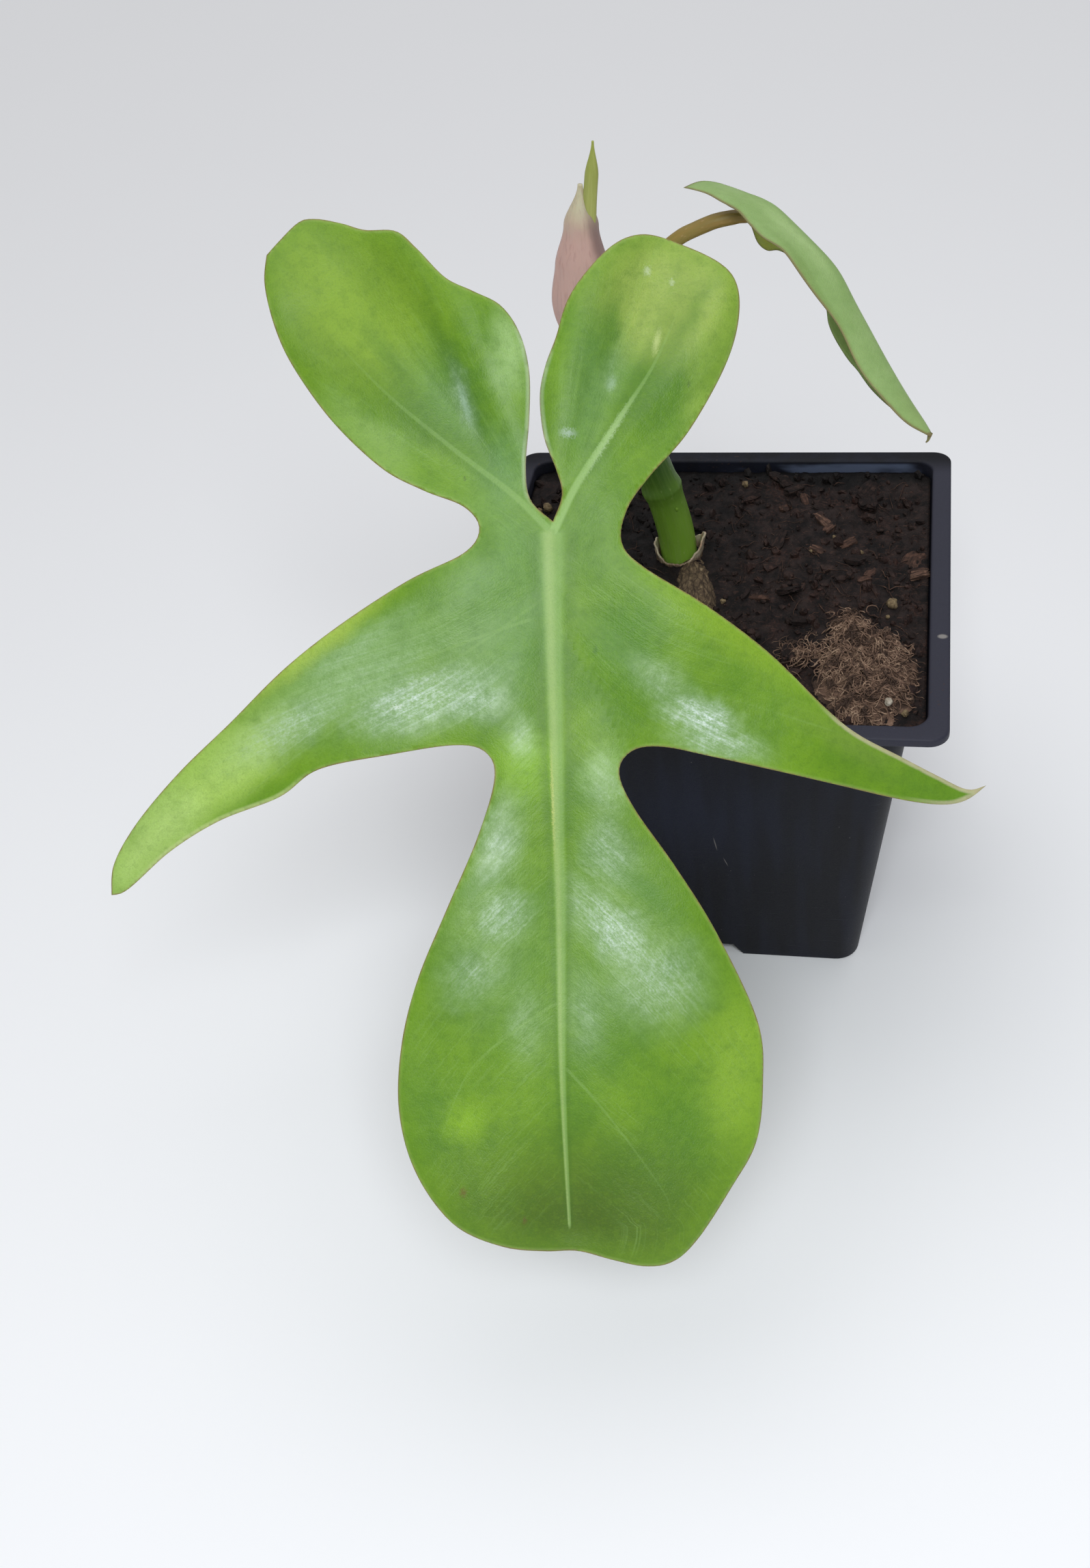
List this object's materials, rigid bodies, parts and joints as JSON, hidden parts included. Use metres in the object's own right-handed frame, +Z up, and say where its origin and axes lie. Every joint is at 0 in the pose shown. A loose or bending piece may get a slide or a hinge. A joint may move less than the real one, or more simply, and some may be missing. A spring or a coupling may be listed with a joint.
{
  "type": "potted philodendron",
  "caption": "Young philodendron with a large lobed leaf, a folded young leaf and a rolled new leaf on a leaning shoot, in a square nursery pot of potting mix.",
  "frame": {"origin": "centre of the pot's base, in the plane of its feet", "axes": "+Z up, +Y towards the pot's back, +X towards its right as seen from the side that the large leaf hangs over"},
  "size_m": [0.1314, 0.1804, 0.1632],
  "materials": {
    "pot_plastic": "satin black",
    "potting_mix": "moist, crumbly",
    "coconut_fibre": "matt, fibrous",
    "old_stem": "rough, dry",
    "dry_sheath": "papery",
    "green_stem": "smooth",
    "petiole": "smooth, finely streaked",
    "leaf_blade": "glossy",
    "young_blade": "satin",
    "cataphyll": "satin",
    "new_leaf": "satin"
  },
  "bodies": {
    "root": {"pot": "pot_plastic", "soil": "potting_mix", "fibre_tuft": "coconut_fibre", "old_stem": "old_stem", "base_sheath": "dry_sheath", "shoot": "green_stem", "petiole_1": "petiole", "petiole_2": "petiole", "leaf_1": "leaf_blade", "leaf_2": "young_blade", "cataphyll": "cataphyll", "new_leaf": "new_leaf"}
  },
  "joints": []
}
